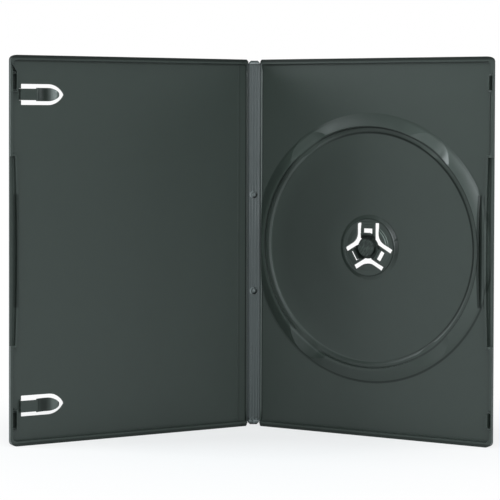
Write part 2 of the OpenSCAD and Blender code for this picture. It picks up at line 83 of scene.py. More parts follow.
# %% Sizes from the CAD
MM = 0.001
CASE_H = 190 * MM
FOLD_X = 3.3 * MM
FOLD_EDGE = 1.95 * MM
COVER_W = 132 * MM
INNER_Z = 0.8 * MM
SPINE_FACE = 0.9 * MM
WELL_X = 63 * MM
OPEN = math.radians(31)
depth_shift = frame["record"]["behaviour"]["joints"][0]["pos_m"][1]


def on_cover(flat_x, flat_y, flat_z, side):
    """A place on the flat drawing, folded up; side is 1 for the tray and -1 for the front cover."""
    x = FOLD_X + flat_x * math.cos(OPEN) - flat_z * math.sin(OPEN)
    y = depth_shift - flat_x * math.sin(OPEN) - flat_z * math.cos(OPEN)
    return Vector((side * x, y, flat_y))


hub_centre = on_cover(FOLD_EDGE + WELL_X, CASE_H / 2, INNER_Z, 1)
print("fold axis depth in mm:", round(depth_shift * 1000, 2))
print("hub centre in mm:", [round(c * 1000, 1) for c in hub_centre])

# %% [markdown]
# ## The camera
# The photograph was taken from in front of the open case, a little above its middle, with a
# long lens. A camera can be placed by eye, but a small error in its distance changes how much
# the covers spread. So the lens and the place were solved from the case's own edges.

# %% Camera
PHOTO_SIDE = 500
FOCAL_PX = 1989.2
SHIFT_PX = (-45, -85)
CAMERA_PLACE = Vector((0.01472, -0.99713, 0.16002))
CAMERA_YAW, CAMERA_PITCH, CAMERA_ROLL = 0.00635, -0.02377, 0.00332


def camera_turn(yaw, pitch, roll):
    """Turn of a camera that looks along +Y when all three angles are zero."""
    forward = Vector((math.sin(yaw) * math.cos(pitch), math.cos(yaw) * math.cos(pitch), math.sin(pitch)))
    level_right = Vector((math.cos(yaw), -math.sin(yaw), 0))
    level_up = level_right.cross(forward)
    right = math.cos(roll) * level_right + math.sin(roll) * level_up
    up = right.cross(forward)
    return Matrix((right, up, -forward)).transposed().to_4x4()


camera_data = bpy.data.cameras.new("camera")
camera_data.sensor_width = 36
camera_data.lens = FOCAL_PX / PHOTO_SIDE * camera_data.sensor_width
camera_data.shift_x = SHIFT_PX[0] / PHOTO_SIDE
camera_data.shift_y = SHIFT_PX[1] / PHOTO_SIDE
camera_data.clip_start = 0.05
camera = bpy.data.objects.new("camera", camera_data)
scene.collection.objects.link(camera)
turn = camera_turn(CAMERA_YAW, CAMERA_PITCH, CAMERA_ROLL)
camera.matrix_world = Matrix.Translation(CAMERA_PLACE) @ turn
scene.camera = camera
print("lens", round(camera_data.lens, 1), "mm, distance", round(camera.location.length, 3), "m")

# %% [markdown]
# ## Small helpers for node trees
# Shader groups and geometry groups are built the same way, and a script that makes every node
# by hand soon grows too long to read. So short functions make a socket, a node with its inputs
# already set or joined, and the start of a shader group with its named sockets.

# %% Node helpers
def add_socket(tree, name, kind, way, value=None, low=None, high=None):
    """One named socket on a group, with its default and its range."""
    socket = tree.interface.new_socket(name=name, in_out=way, socket_type=kind)
    if value is not None:
        socket.default_value = value
    if low is not None:
        socket.min_value = low
    if high is not None:
        socket.max_value = high
    return socket


def add_node(tree, kind, inputs=None, **settings):
    """One node with its settings; inputs holds plain values, and sockets that it is joined to."""
    node = tree.nodes.new(kind)
    for name, value in settings.items():
        setattr(node, name, value)
    for name, value in (inputs or {}).items():
        if isinstance(value, bpy.types.NodeSocket):
            tree.links.new(value, node.inputs[name])
        else:
            node.inputs[name].default_value = value
    return node


def math_node(tree, operation, a, b=None, clamp=False):
    """Result of a Math node; a and b are sockets or plain numbers."""
    inputs = {0: a} if b is None else {0: a, 1: b}
    return add_node(tree, "ShaderNodeMath", inputs, operation=operation, use_clamp=clamp).outputs[0]


def vector_node(tree, operation, a, b=None):
    """A Vector Math node; a and b are sockets."""
    inputs = {0: a} if b is None else {0: a, 1: b}
    return add_node(tree, "ShaderNodeVectorMath", inputs, operation=operation)


def start_group(name, numbers, outputs, vectors=()):
    """A shader group with its sockets, and the nodes that stand for its inputs and outputs."""
    g = bpy.data.node_groups.new(name, "ShaderNodeTree")
    for socket, value in vectors:
        add_socket(g, socket, "NodeSocketVector", "INPUT", value)
    for socket, value, low, high in numbers:
        add_socket(g, socket, "NodeSocketFloat", "INPUT", value, low, high)
    for socket in outputs:
        add_socket(g, socket, "NodeSocketFloat", "OUTPUT")
    return g, add_node(g, "NodeGroupInput"), add_node(g, "NodeGroupOutput")


def show_group(g):
    """Prints a group's name and its sockets."""
    print("group", g.name, [s.name for s in g.interface.items_tree])


print("node helpers:", [f.__name__ for f in (add_socket, add_node, math_node, vector_node, start_group)])

# %% [markdown]
# ## The studio
# A case like this is photographed in a white studio. A bright world would light it evenly from
# all round and wash its shading out. So the world is white where the camera looks straight at
# it, and dim where it lights the plastic, and the lamps do the shading.

# %% World
SOFT_WORLD = 0.16
SOFT_TINT = (0.93, 1.0, 1.03, 1)
scene.view_settings.view_transform = "Standard"
world = bpy.data.worlds.new("studio")
scene.world = world
world.use_nodes = True
wt = world.node_tree
wt.nodes.clear()
w_soft = add_node(wt, "ShaderNodeBackground", {"Color": SOFT_TINT, "Strength": SOFT_WORLD})
w_white = add_node(wt, "ShaderNodeBackground", {"Color": (1, 1, 1, 1), "Strength": 1.0})
w_path = add_node(wt, "ShaderNodeLightPath")
w_seen = math_node(wt, "MAXIMUM", w_path.outputs["Is Camera Ray"], w_path.outputs["Is Transmission Ray"])
w_mix = add_node(wt, "ShaderNodeMixShader", {"Fac": w_seen, 1: w_soft.outputs[0], 2: w_white.outputs[0]})
add_node(wt, "ShaderNodeOutputWorld", {"Surface": w_mix.outputs[0]})
print("world: white to the camera, strength", SOFT_WORLD, "on the object")

# %% [markdown]
# Satin plastic shows its lamps as wide soft reflections, so large area lamps suit it better than
# points or a sun. The tray faces to the left, so a lamp far to the left brightens its open side
# and leaves its fold side in the front cover's shade.

# %% Lamps
COOL = (0.93, 1.0, 1.035)
CENTRE = Vector((0, 0, 0.1))


def soft_lamp(name, place, size, watts):
    """A square area lamp that looks from its place at the middle of the case."""
    data = bpy.data.lights.new(name, "AREA")
    data.shape = "SQUARE"
    data.size = size
    data.energy = watts
    data.color = COOL
    lamp = bpy.data.objects.new(name, data)
    scene.collection.objects.link(lamp)
    lamp.location = place
    aim = CENTRE - lamp.location
    lamp.rotation_euler = aim.to_track_quat("-Z", "Y").to_euler()


soft_lamp("left", (-1.7, 0.0, 0.5), 0.9, 31.5)
soft_lamp("right", (1.7, 0.0, 0.5), 0.9, 11)
soft_lamp("front", (0.0, -1.5, 0.6), 0.7, 14.5)
soft_lamp("front_right", (0.8, -1.6, 0.6), 0.8, 5.5)
soft_lamp("top", (0.0, -0.8, 1.7), 1.0, 12)

# %% [markdown]
# The floor is a plain pale sheet. A shadow catcher would need a transparent film and a second
# step that puts white behind it. Here the sheet is really there: near the case it shows the
# case's soft shadow, and further out it fades to the white of the background.

# %% Floor
FLOOR_HALF = 3.0
FLOOR_Z = -0.1 * MM
FLOOR_GREY = 0.85
SHADE_NEAR = 0.06
SHADE_FAR = 0.20
WHITE_NEAR = 0.6


def floor_material():
    """Pale diffuse floor that fades to plain white away from the case."""
    m = bpy.data.materials.new("pale_floor")
    m.use_nodes = True
    t = m.node_tree
    t.nodes.clear()
    plain = add_node(t, "ShaderNodeBsdfDiffuse", {"Color": (FLOOR_GREY, FLOOR_GREY, FLOOR_GREY, 1)})
    glow = add_node(t, "ShaderNodeEmission", {"Color": (1, 1, 1, 1), "Strength": 1.0})
    place = add_node(t, "ShaderNodeTexCoord").outputs["Object"]
    fade = add_node(t, "ShaderNodeMapRange", {
        "Value": vector_node(t, "LENGTH", place).outputs["Value"],
        "From Min": SHADE_NEAR, "From Max": SHADE_FAR, "To Min": WHITE_NEAR, "To Max": 1.0})
    path = add_node(t, "ShaderNodeLightPath")
    share = math_node(t, "MULTIPLY", path.outputs["Is Camera Ray"], fade.outputs["Result"])
    mix = add_node(t, "ShaderNodeMixShader", {"Fac": share, 1: plain.outputs[0], 2: glow.outputs[0]})
    add_node(t, "ShaderNodeOutputMaterial", {"Surface": mix.outputs[0]})
    return m


floor_mesh = bpy.data.meshes.new("floor")
floor_mesh.from_pydata(
    [(-FLOOR_HALF, -FLOOR_HALF, FLOOR_Z), (FLOOR_HALF, -FLOOR_HALF, FLOOR_Z),
     (FLOOR_HALF, FLOOR_HALF, FLOOR_Z), (-FLOOR_HALF, FLOOR_HALF, FLOOR_Z)],
    [], [(0, 1, 2, 3)])
floor_mesh.materials.append(floor_material())
floor = bpy.data.objects.new("floor", floor_mesh)
scene.collection.objects.link(floor)
print("floor", 2 * FLOOR_HALF, "m square")

# %% [markdown]
# ## The grain of the plastic
# Moulded polypropylene has a soft satin shine. The mould's surface was lightly spark-eroded, so
# the plastic carries a very fine grain, and slow ripples where it shrank as it cooled. Modelled,
# such a grain would take millions of faces. Two noises in a Bump give it for nothing, and every
# plastic of this case shares them, so they stand in a group with named inputs.

# %% Shader group: moulded grain
def moulded_grain_group():
    """Height of a fine grain plus slow shrink ripples, and a mottle that varies the colour."""
    g, gi, go = start_group("moulded_grain", [
        ("Grain per metre", 2500.0, 0.0, 20000.0),
        ("Ripple per metre", 60.0, 0.0, 500.0),
        ("Ripple share", 0.5, 0.0, 1.0),
        ("Mottle per metre", 140.0, 0.0, 2000.0),
    ], ["Height", "Mottle"])
    place = add_node(g, "ShaderNodeTexCoord").outputs["Object"]
    grain = add_node(g, "ShaderNodeTexNoise", {
        "Vector": place, "Scale": gi.outputs["Grain per metre"], "Detail": 2.0})
    ripple = add_node(g, "ShaderNodeTexNoise", {
        "Vector": place, "Scale": gi.outputs["Ripple per metre"], "Detail": 1.5})
    mottle = add_node(g, "ShaderNodeTexNoise", {
        "Vector": place, "Scale": gi.outputs["Mottle per metre"], "Detail": 3.0})
    blend = add_node(g, "ShaderNodeMix", {
        "Factor": gi.outputs["Ripple share"], "A": grain.outputs["Fac"],
        "B": ripple.outputs["Fac"]}, data_type="FLOAT")
    g.links.new(blend.outputs["Result"], go.inputs["Height"])
    g.links.new(mottle.outputs["Fac"], go.inputs["Mottle"])
    return g


GRAIN = moulded_grain_group()
show_group(GRAIN)

# %% [markdown]
# Handling leaves faint rubbed streaks, where the grain is polished a little smoother. They run
# up the case, so the noise is stretched that way, and a second, slower noise breaks the streaks
# up into patches.

# %% Shader group: rub marks
PATCHES_PER_METRE = 45.0
STREAK_START = 0.18
STREAK_GAIN = 4.0


def stretched(g, vector, share):
    """The vector with its Z scaled down, which stretches a pattern up the case."""
    squeeze = add_node(g, "ShaderNodeCombineXYZ", {"X": 1.0, "Y": 1.0, "Z": share})
    return vector_node(g, "MULTIPLY", vector, squeeze.outputs[0]).outputs[0]


def rub_marks_group():
    """Mask of faint rubbed streaks, from 0 to 1."""
    g, gi, go = start_group("rub_marks", [
        ("Streaks per metre", 900.0, 0.0, 5000.0),
        ("Stretch", 0.04, 0.0, 1.0),
        ("Cover", 0.5, 0.0, 1.0),
    ], ["Mask"])
    place = add_node(g, "ShaderNodeTexCoord").outputs["Object"]
    streak = add_node(g, "ShaderNodeTexNoise", {
        "Vector": stretched(g, place, gi.outputs["Stretch"]),
        "Scale": gi.outputs["Streaks per metre"], "Detail": 2.0})
    patch = add_node(g, "ShaderNodeTexNoise", {"Vector": place, "Scale": PATCHES_PER_METRE})
    sharp = math_node(g, "MULTIPLY", streak.outputs["Fac"], patch.outputs["Fac"])
    raised = math_node(g, "SUBTRACT", sharp, STREAK_START)
    wide = math_node(g, "MULTIPLY", raised, STREAK_GAIN, clamp=True)
    covered = math_node(g, "MULTIPLY", wide, gi.outputs["Cover"])
    g.links.new(covered, go.inputs["Mask"])
    return g


RUBS = rub_marks_group()
show_group(RUBS)

# %% [markdown]
# Most of the painted light and dark lines on this case are rings: the painted shade in the gap
# round the button, and the edges of the hub's pad and those of the disc's well. One group gives
# the mask of a ring round any axis. A ring round an upright axis is also a line up the case, so
# the same group serves the grooves of the folds. Bias makes a ring stronger on the side that it
# points to, as light from one side does.

# %% Shader group: ring shade
def ring_shade_group():
    """Mask of a ring round an axis, with soft edges, stronger towards the side that Bias points to."""
    g, gi, go = start_group("ring_shade", [
        ("Inner radius", 5 * MM, -1.0, 1.0),
        ("Outer radius", 7 * MM, 0.0, 1.0),
        ("Softness", 0.3 * MM, 0.01 * MM, 0.1),
        ("Base", 1.0, -50.0, 50.0),
    ], ["Mask"], [("Centre", (0, 0, 0)), ("Axis", (0, 0, 1)), ("Bias", (0, 0, 0))])
    place = add_node(g, "ShaderNodeTexCoord").outputs["Object"]
    offset = vector_node(g, "SUBTRACT", place, gi.outputs["Centre"]).outputs[0]
    across = vector_node(g, "CROSS_PRODUCT", offset, gi.outputs["Axis"]).outputs[0]
    radius = vector_node(g, "LENGTH", across).outputs["Value"]
    way = vector_node(g, "NORMALIZE", offset).outputs[0]
    side = vector_node(g, "DOT_PRODUCT", way, gi.outputs["Bias"]).outputs["Value"]
    inside = math_node(g, "SUBTRACT", radius, gi.outputs["Inner radius"])
    rise = math_node(g, "DIVIDE", inside, gi.outputs["Softness"], clamp=True)
    outside = math_node(g, "SUBTRACT", gi.outputs["Outer radius"], radius)
    fall = math_node(g, "DIVIDE", outside, gi.outputs["Softness"], clamp=True)
    ring = math_node(g, "MULTIPLY", rise, fall)
    sided = math_node(g, "ADD", gi.outputs["Base"], side, clamp=True)
    g.links.new(math_node(g, "MULTIPLY", ring, sided), go.inputs["Mask"])
    return g


RING = ring_shade_group()
show_group(RING)

# %% [markdown]
# The rims at the top and bottom of the case look darker than the panels beside them, and the
# panel fades towards the top rim, which takes part of its light. Smaller lamps would show this
# too, but would harden every other shadow. A mask over the height gives both.

# %% Shader group: rim shade
RIM_EDGE = 0.2 * MM


def height_in(g):
    """Height of the shaded place, from Object coordinates."""
    place = add_node(g, "ShaderNodeTexCoord").outputs["Object"]
    return add_node(g, "ShaderNodeSeparateXYZ", {0: place}).outputs["Z"]


def rim_shade_group():
    """Mask that rises towards the top and bottom rims of the case, from 0 to 1."""
    g, gi, go = start_group("rim_shade", [
        ("Case height", CASE_H, 0.0, 10.0),
        ("Rim width", 1.6 * MM, 0.0, 1.0),
        ("Fade width", 5 * MM, 0.0, 1.0),
        ("Rim share", 0.6, 0.0, 1.0),
    ], ["Mask"])
    height = height_in(g)
    above = math_node(g, "SUBTRACT", gi.outputs["Case height"], height)
    from_top = math_node(g, "DIVIDE", above, gi.outputs["Fade width"])
    top_fade = math_node(g, "SUBTRACT", 1.0, from_top, clamp=True)
    near_top = math_node(g, "SUBTRACT", gi.outputs["Rim width"], above)
    near_foot = math_node(g, "SUBTRACT", gi.outputs["Rim width"], height)
    rim = math_node(g, "DIVIDE", math_node(g, "MAXIMUM", near_top, near_foot), RIM_EDGE, clamp=True)
    rest = math_node(g, "SUBTRACT", 1.0, gi.outputs["Rim share"])
    faded = math_node(g, "MULTIPLY", math_node(g, "MULTIPLY", top_fade, top_fade), rest)
    flat_rim = math_node(g, "MULTIPLY", rim, gi.outputs["Rim share"])
    g.links.new(math_node(g, "ADD", faded, flat_rim, clamp=True), go.inputs["Mask"])
    return g


RIMS = rim_shade_group()
show_group(RIMS)

# %% [markdown]
# The lips and the foot of the spine differ from the rest of it, and lines up the case start and
# end somewhere. For these, one more mask gives a band between two heights.

# %% Shader group: height band
def height_band_group():
    """Mask of a band between two heights, with soft edges."""
    g, gi, go = start_group("height_band", [
        ("Low", 0.0, -10.0, 10.0),
        ("High", 10 * MM, -10.0, 10.0),
        ("Softness", 0.2 * MM, 0.01 * MM, 1.0),
    ], ["Mask"])
    height = height_in(g)
    above = math_node(g, "SUBTRACT", height, gi.outputs["Low"])
    below = math_node(g, "SUBTRACT", gi.outputs["High"], height)
    nearest = math_node(g, "MINIMUM", above, below)
    g.links.new(math_node(g, "DIVIDE", nearest, gi.outputs["Softness"], clamp=True), go.inputs["Mask"])
    return g


BAND = height_band_group()
show_group(BAND)

# %% [markdown]
# Discs leave short slanting scuffs on the button. They are a noise that is turned about the
# hub's axis and then stretched, which is cheaper than drawing each one.

# %% Shader group: scuffs
SCUFF_START = 0.36
SCUFF_GAIN = 3.5


def scuff_marks_group():
    """Short scuffs across a round face, turned about its axis; the mask runs from 0 to 1."""
    g, gi, go = start_group("scuff_marks", [
        ("Turn", 0.6, -10.0, 10.0),
        ("Scuffs per metre", 900.0, 0.0, 9000.0),
        ("Stretch", 0.3, 0.0, 1.0),
    ], ["Mask"], [("Axis", (0, 0, 1))])
    turn = add_node(g, "ShaderNodeVectorRotate", {
        "Vector": add_node(g, "ShaderNodeTexCoord").outputs["Object"],
        "Axis": gi.outputs["Axis"], "Angle": gi.outputs["Turn"]}, rotation_type="AXIS_ANGLE")
    noise = add_node(g, "ShaderNodeTexNoise", {
        "Vector": stretched(g, turn.outputs[0], gi.outputs["Stretch"]),
        "Scale": gi.outputs["Scuffs per metre"], "Detail": 3.0})
    centred = math_node(g, "SUBTRACT", noise.outputs["Fac"], SCUFF_START)
    g.links.new(math_node(g, "MULTIPLY", centred, SCUFF_GAIN, clamp=True), go.inputs["Mask"])
    return g


SCUFFS = scuff_marks_group()
show_group(SCUFFS)

# %% [markdown]
# ## Satin polypropylene
# One function builds every plastic from these groups. The base colour is a dark green-grey, and
# most of what the eye sees on it is the soft shine on top. A fifth of that shine follows the
# grain. The rest is a smooth coat, because a mask can lower a coat's weight. Each plastic brings
# its own `shade`, a function that returns the share of light that stays at each place, and both
# the colour and the coat follow that share, so that shade and light are painted into them.

# %% Satin plastic
CASE_GREY = (0.0213, 0.0290, 0.0240)
MOTTLE_SPREAD = 0.06
PLASTIC_IOR = 1.49
COAT_IOR = 1.6
SHINE = 0.5
GRAINY_SHARE = 0.2
COAT_PER_SHINE = 1.4535
DULLER = 0.03
POLISHED = 0.05


def satin_plastic(name, colour, rough, shade, grain_depth=4e-6, grain=2500.0, rubs=0.5):
    """Satin plastic; shade adds nodes to the tree and returns the share of light that stays, which paints
    shade and light into the colour and the coat.
    """
    m = bpy.data.materials.new(name)
    m.use_nodes = True
    t = m.node_tree
    t.nodes.clear()
    texture = add_node(t, "ShaderNodeGroup", {"Grain per metre": grain}, node_tree=GRAIN)
    rubbed = add_node(t, "ShaderNodeGroup", {"Cover": rubs}, node_tree=RUBS)
    keep = shade(t)
    darker = (*[c * (1 - MOTTLE_SPREAD) for c in colour], 1)
    lighter = (*[c * (1 + MOTTLE_SPREAD) for c in colour], 1)
    tint = add_node(t, "ShaderNodeMix", {
        "Factor": texture.outputs["Mottle"], "A": darker, "B": lighter}, data_type="RGBA")
    shaded = add_node(t, "ShaderNodeVectorMath", {
        0: tint.outputs["Result"], "Scale": keep}, operation="SCALE")
    gloss = add_node(t, "ShaderNodeMapRange", {
        "Value": rubbed.outputs["Mask"], "To Min": rough + DULLER, "To Max": rough - POLISHED})
    bump = add_node(t, "ShaderNodeBump", {
        "Height": texture.outputs["Height"], "Distance": grain_depth, "Strength": 1.0})
    coat = math_node(t, "SUBTRACT", keep, GRAINY_SHARE)
    skin = add_node(t, "ShaderNodeBsdfPrincipled", {
        "Base Color": shaded.outputs[0], "Normal": bump.outputs["Normal"],
        "Roughness": gloss.outputs["Result"], "IOR": PLASTIC_IOR,
        "Specular IOR Level": SHINE * GRAINY_SHARE,
        "Coat Weight": math_node(t, "MULTIPLY", coat, SHINE * COAT_PER_SHINE, clamp=True),
        "Coat Roughness": rough, "Coat IOR": COAT_IOR})
    add_node(t, "ShaderNodeOutputMaterial", {"Surface": skin.outputs[0]})
    return m


print("satin plastic: base colour", CASE_GREY, "with a coat of IOR", COAT_IOR)

# %% [markdown]
# ## Painted light and dark lines
# Narrow gaps, grooves and the feet of walls look darker than their neighbours, and edges that
# face the light look brighter. This script paints that shade and light into the plastic. A
# picture of the lines would blur close up, so here they are sums on the groups' masks, and each
# painted line has its real width and stays crisp from any distance. What these helpers are
# given, and every size named from here to the tray, is in plain millimetres unless it carries
# MM. A loss below zero paints light instead of shade.

# %% Masks in a material
def set_sizes(group_node, names, values):
    """Sets some of a group's sizes, given in millimetres."""
    for name, value in zip(names, values):
        group_node.inputs[name].default_value = value * MM


def ring_mask(t, centre, axis, size, base=1.0, bias=(0, 0, 0)):
    """Mask of a ring; size is its inner radius, its outer radius and its softness."""
    places = {"Centre": centre, "Axis": axis, "Base": base, "Bias": bias}
    ring = add_node(t, "ShaderNodeGroup", places, node_tree=RING)
    set_sizes(ring, ("Inner radius", "Outer radius", "Softness"), size)
    return ring.outputs["Mask"]


def band_mask(t, low, high, softness):
    """Mask of a band between two heights."""
    band = add_node(t, "ShaderNodeGroup", node_tree=BAND)
    set_sizes(band, ("Low", "High", "Softness"), (low, high, softness))
    return band.outputs["Mask"]


print("mask helpers:", ring_mask.__name__, band_mask.__name__)

# %% [markdown]
# A mask says where, and a loss says how much. Their product is taken from one, which leaves the
# share of light that stays, and shares from several lines can simply be multiplied.

# %% Shares of light
LINE_EDGE = 0.3
SPAN_END = 1.0
UPRIGHT = (0, 0, 1)


def keep_share(t, mask, loss):
    """Share of light that stays where a mask takes some away."""
    return math_node(t, "SUBTRACT", 1.0, math_node(t, "MULTIPLY", mask, loss))


def ring_share(t, centre, axis, size, loss, base=1.0, bias=(0, 0, 0)):
    """Share of light that a ring keeps."""
    return keep_share(t, ring_mask(t, centre, axis, size, base, bias), loss)


def band_share(t, low, high, softness, loss):
    """Share of light that a band between two heights keeps."""
    return keep_share(t, band_mask(t, low, high, softness), loss)


def line_share(t, side, near, far, heights, loss):
    """Share of light that an upright line keeps; near and far are measured from the fold line."""
    line = ring_mask(t, on_cover(0, 0, 0, side), UPRIGHT, (near, far, LINE_EDGE))
    part = band_mask(t, *heights, SPAN_END)
    return keep_share(t, math_node(t, "MULTIPLY", line, part), loss)


def product(t, shares):
    """All the shares multiplied together."""
    total = shares[0]
    for share in shares[1:]:
        total = math_node(t, "MULTIPLY", total, share)
    return total


print("lines up the case have edges", LINE_EDGE, "mm soft")

# %% [markdown]
# ## The hub's plastic
# The hub's fingers and its button were moulded with a coarser grain than the panels. Almost no
# light comes back out of the gap round the button, so shade is painted there, and many discs
# have scuffed its face. All of it is round, so one helper places a ring of painted shade, or of
# painted light, on the hub's own axis. The lamp that matters most stands to one side, so the
# helper can also make a ring stronger to the right or the top.

# %% Materials: fingers and button
BUTTON_R = 4.6
SCUFF_TURN = -0.6
SCUFFS_PER_METRE = 1500.0
SCUFF_SHARE = 0.6
hub_axis = Vector((math.sin(OPEN), math.cos(OPEN), 0))
tray_right = Vector((math.cos(OPEN), -math.sin(OPEN), 0))


def hub_ring(t, inner, outer, softness, loss, base=1.0, to_right=0.0, to_top=0.0):
    """Share of light that a ring round the hub keeps, which may differ to the right or the top."""
    bias = tray_right * to_right + Vector((0, 0, to_top))
    return ring_share(t, hub_centre, hub_axis, (inner, outer, softness), loss, base, bias)


def hub_shade(t):
    """Keeps less light in the gap round the button."""
    return hub_ring(t, BUTTON_R - 0.1, BUTTON_R + 2.4, 0.25, 0.6)


def button_shade(t):
    """Slanting scuffs, and painted shade at its edge."""
    slant = {"Axis": hub_axis, "Turn": SCUFF_TURN, "Scuffs per metre": SCUFFS_PER_METRE}
    scuffs = add_node(t, "ShaderNodeGroup", slant, node_tree=SCUFFS)
    pale = math_node(t, "MULTIPLY", scuffs.outputs["Mask"], SCUFF_SHARE)
    worn = math_node(t, "ADD", pale, SCUFF_SHARE)
    return product(t, [worn, hub_ring(t, BUTTON_R - 0.7, BUTTON_R + 1.4, 0.4, 0.35)])


hub_plastic = satin_plastic("hub_plastic", CASE_GREY, 0.40, hub_shade, grain_depth=1e-5, grain=1600.0)
button_plastic = satin_plastic(
    "button_plastic", CASE_GREY, 0.5, button_shade, grain_depth=1e-4, grain=900.0)
print("hub plastics:", hub_plastic.name, button_plastic.name)

# %% [markdown]
# ## The covers' and the folds' plastic
# Beside the bead of each fold run two grooves, dark because their walls shade each other, and
# that shade is painted in. On the tray's fold the bead shows as a painted light line between
# them, a little further from the fold line. At the fore-edge the front cover gets painted shade
# along the thumb recess and where the latch slots lie. All of these run straight up the case,
# so they are lines at set distances from the fold.

# %% Materials: front cover and fold webs
RIM_LOSS = 0.68
BEAD_LIGHT = {-1: 0.5 * MM, 1: 0.85 * MM}
BEAD_Z = 0.2 * MM
BAND_END = 6.25
FORE_EDGE = (FOLD_EDGE + COVER_W) / MM
CASE_TOP = CASE_H / MM
LATCH_INSET = 12.9


def heights_round(middle, length):
    """Lowest and highest place of a stretch of the case."""
    return middle - length / 2, middle + length / 2


def rim_shade(t):
    """Keeps less light on the rims and just below the top rim."""
    rims = add_node(t, "ShaderNodeGroup", node_tree=RIMS)
    return keep_share(t, rims.outputs["Mask"], RIM_LOSS)


def fold_groove(t, side):
    """Keeps less light in the grooves beside the bead of a fold."""
    return ring_share(t, on_cover(BEAD_LIGHT[side], 0, BEAD_Z, side), UPRIGHT, (0.3, 1.2, 0.1), 0.6)


def fold_bead(t, side):
    """Extra light along the top of a fold's bead."""
    return ring_share(t, on_cover(BEAD_LIGHT[side], 0, BEAD_Z, side), UPRIGHT, (-1.0, 0.36, 0.1), -0.9)


def cover_shade(t):
    """Painted shade on the rims, in the groove of the front fold, at the edge of the band beside it, and
    at the fore-edge.
    """
    thumb = heights_round(CASE_TOP / 2, 56)
    shares = [
        rim_shade(t),
        fold_groove(t, -1),
        # painted shade over a light line at the edge of the band beside the front fold
        ring_share(t, on_cover(0, 0, 0, -1), UPRIGHT, (BAND_END - 1.25, BAND_END + 0.25, 0.3), 0.16),
        line_share(t, -1, FORE_EDGE - 4.25, FORE_EDGE - 2.25, thumb, 0.4),
    ]
    for latch in (LATCH_INSET, CASE_TOP - LATCH_INSET):
        slot = heights_round(latch, 9)
        shares.append(line_share(t, -1, FORE_EDGE - 3.35, FORE_EDGE - 1.45, slot, 0.65))
    return product(t, shares)


def web_shade(t):
    """Painted shade in the grooves of both folds, and a painted highlight on the bead of the tray's fold.
    """
    return product(t, [fold_groove(t, -1), fold_groove(t, 1), fold_bead(t, 1)])


cover_plastic = satin_plastic("cover_plastic", CASE_GREY, 0.36, cover_shade)
fold_plastic = satin_plastic("fold_plastic", CASE_GREY, 0.34, web_shade, grain=4000.0)
print("fore-edge lies", round(FORE_EDGE, 2), "mm from the fold line")

# %% [markdown]
# ## The clips' plastic
# Each booklet clip is a tongue that bows up from the cover, dips and rises again to a rounded
# nose. The bow turns away from the light and the nose turns into it. The lamps alone show this
# too softly on so small a piece, so three rings round an upright axis at the tip help them.

# %% Material: booklet clips
CLIP_TIP = 106.6 * MM


def clip_shade(t):
    """Painted shade where the clip's tongue starts to bow, painted light towards its tip."""
    tip = on_cover(CLIP_TIP, 0, INNER_Z, -1)
    return product(t, [
        ring_share(t, tip, UPRIGHT, (5.5, 12.9, 2.5), 0.5),
        ring_share(t, tip, UPRIGHT, (12.1, 12.9, 0.3), 0.3),
        ring_share(t, tip, UPRIGHT, (2.0, 6.0, 1.5), -0.7),
    ])


clip_plastic = satin_plastic("clip_plastic", CASE_GREY, 0.32, clip_shade)
print("clip tip at", [round(c * 1000, 1) for c in on_cover(CLIP_TIP, 0, INNER_Z, -1)], "mm")

# %% [markdown]
# ## The spine's plastic
# The spine's colour is painted paler than the covers', as painted light, though it is the same
# plastic. A lip closes each end, painted lighter as a painted highlight, with a painted dark line
# of shade under the upper one, and the foot has worn speckles where the case stands. In the two
# gate dimples the wall nearest the light is painted dark, the far wall is painted bright and the
# nub gets a painted highlight. The speckle is the mottle again at a finer scale, kept to a band
# at the foot.

# %% Material: spine
# the spine's paler colour is painted light: it is the same plastic as the covers
SPINE_LIT_GREY = (0.037, 0.0455, 0.0440)
SPECKLES_PER_METRE = 900.0
SPECKLE_GAIN = 4.5
LIP_LINE = 2.3
DIMPLE_PITCH = 50 * MM
GATE_HEIGHTS = (CASE_H / 2 + DIMPLE_PITCH / 2, CASE_H / 2 - DIMPLE_PITCH / 2)
spine_front = depth_shift - SPINE_FACE


def speckled_foot(t):
    """Light and dark speckles in a band at the spine's foot."""
    speckle = add_node(t, "ShaderNodeGroup", {"Mottle per metre": SPECKLES_PER_METRE}, node_tree=GRAIN)
    spots = math_node(t, "SUBTRACT", speckle.outputs["Mottle"], 0.5)
    spread = math_node(t, "MULTIPLY", spots, band_mask(t, 0.0, 4.6, 0.6))
    return math_node(t, "ADD", math_node(t, "MULTIPLY", spread, SPECKLE_GAIN), 1.0)


def gate_shares(t, height):
    """The painted shade of the dark wall, and the painted light of the bright wall and of the nub, in one
    gate dimple.
    """
    centre = Vector((0, spine_front, height))
    dark_side = Vector((1.1, 0, -0.9))
    light_side = Vector((-1.3, 0, 0.3))
    return [
        ring_share(t, centre, (0, 1, 0), (0.85, 2.0, 0.3), 0.85, 0.0, dark_side),
        ring_share(t, centre, (0, 1, 0), (1.3, 2.3, 0.3), -1.2, -0.2, light_side),
        ring_share(t, centre, (0, 1, 0), (-1.0, 1.0, 0.4), -0.6),
    ]


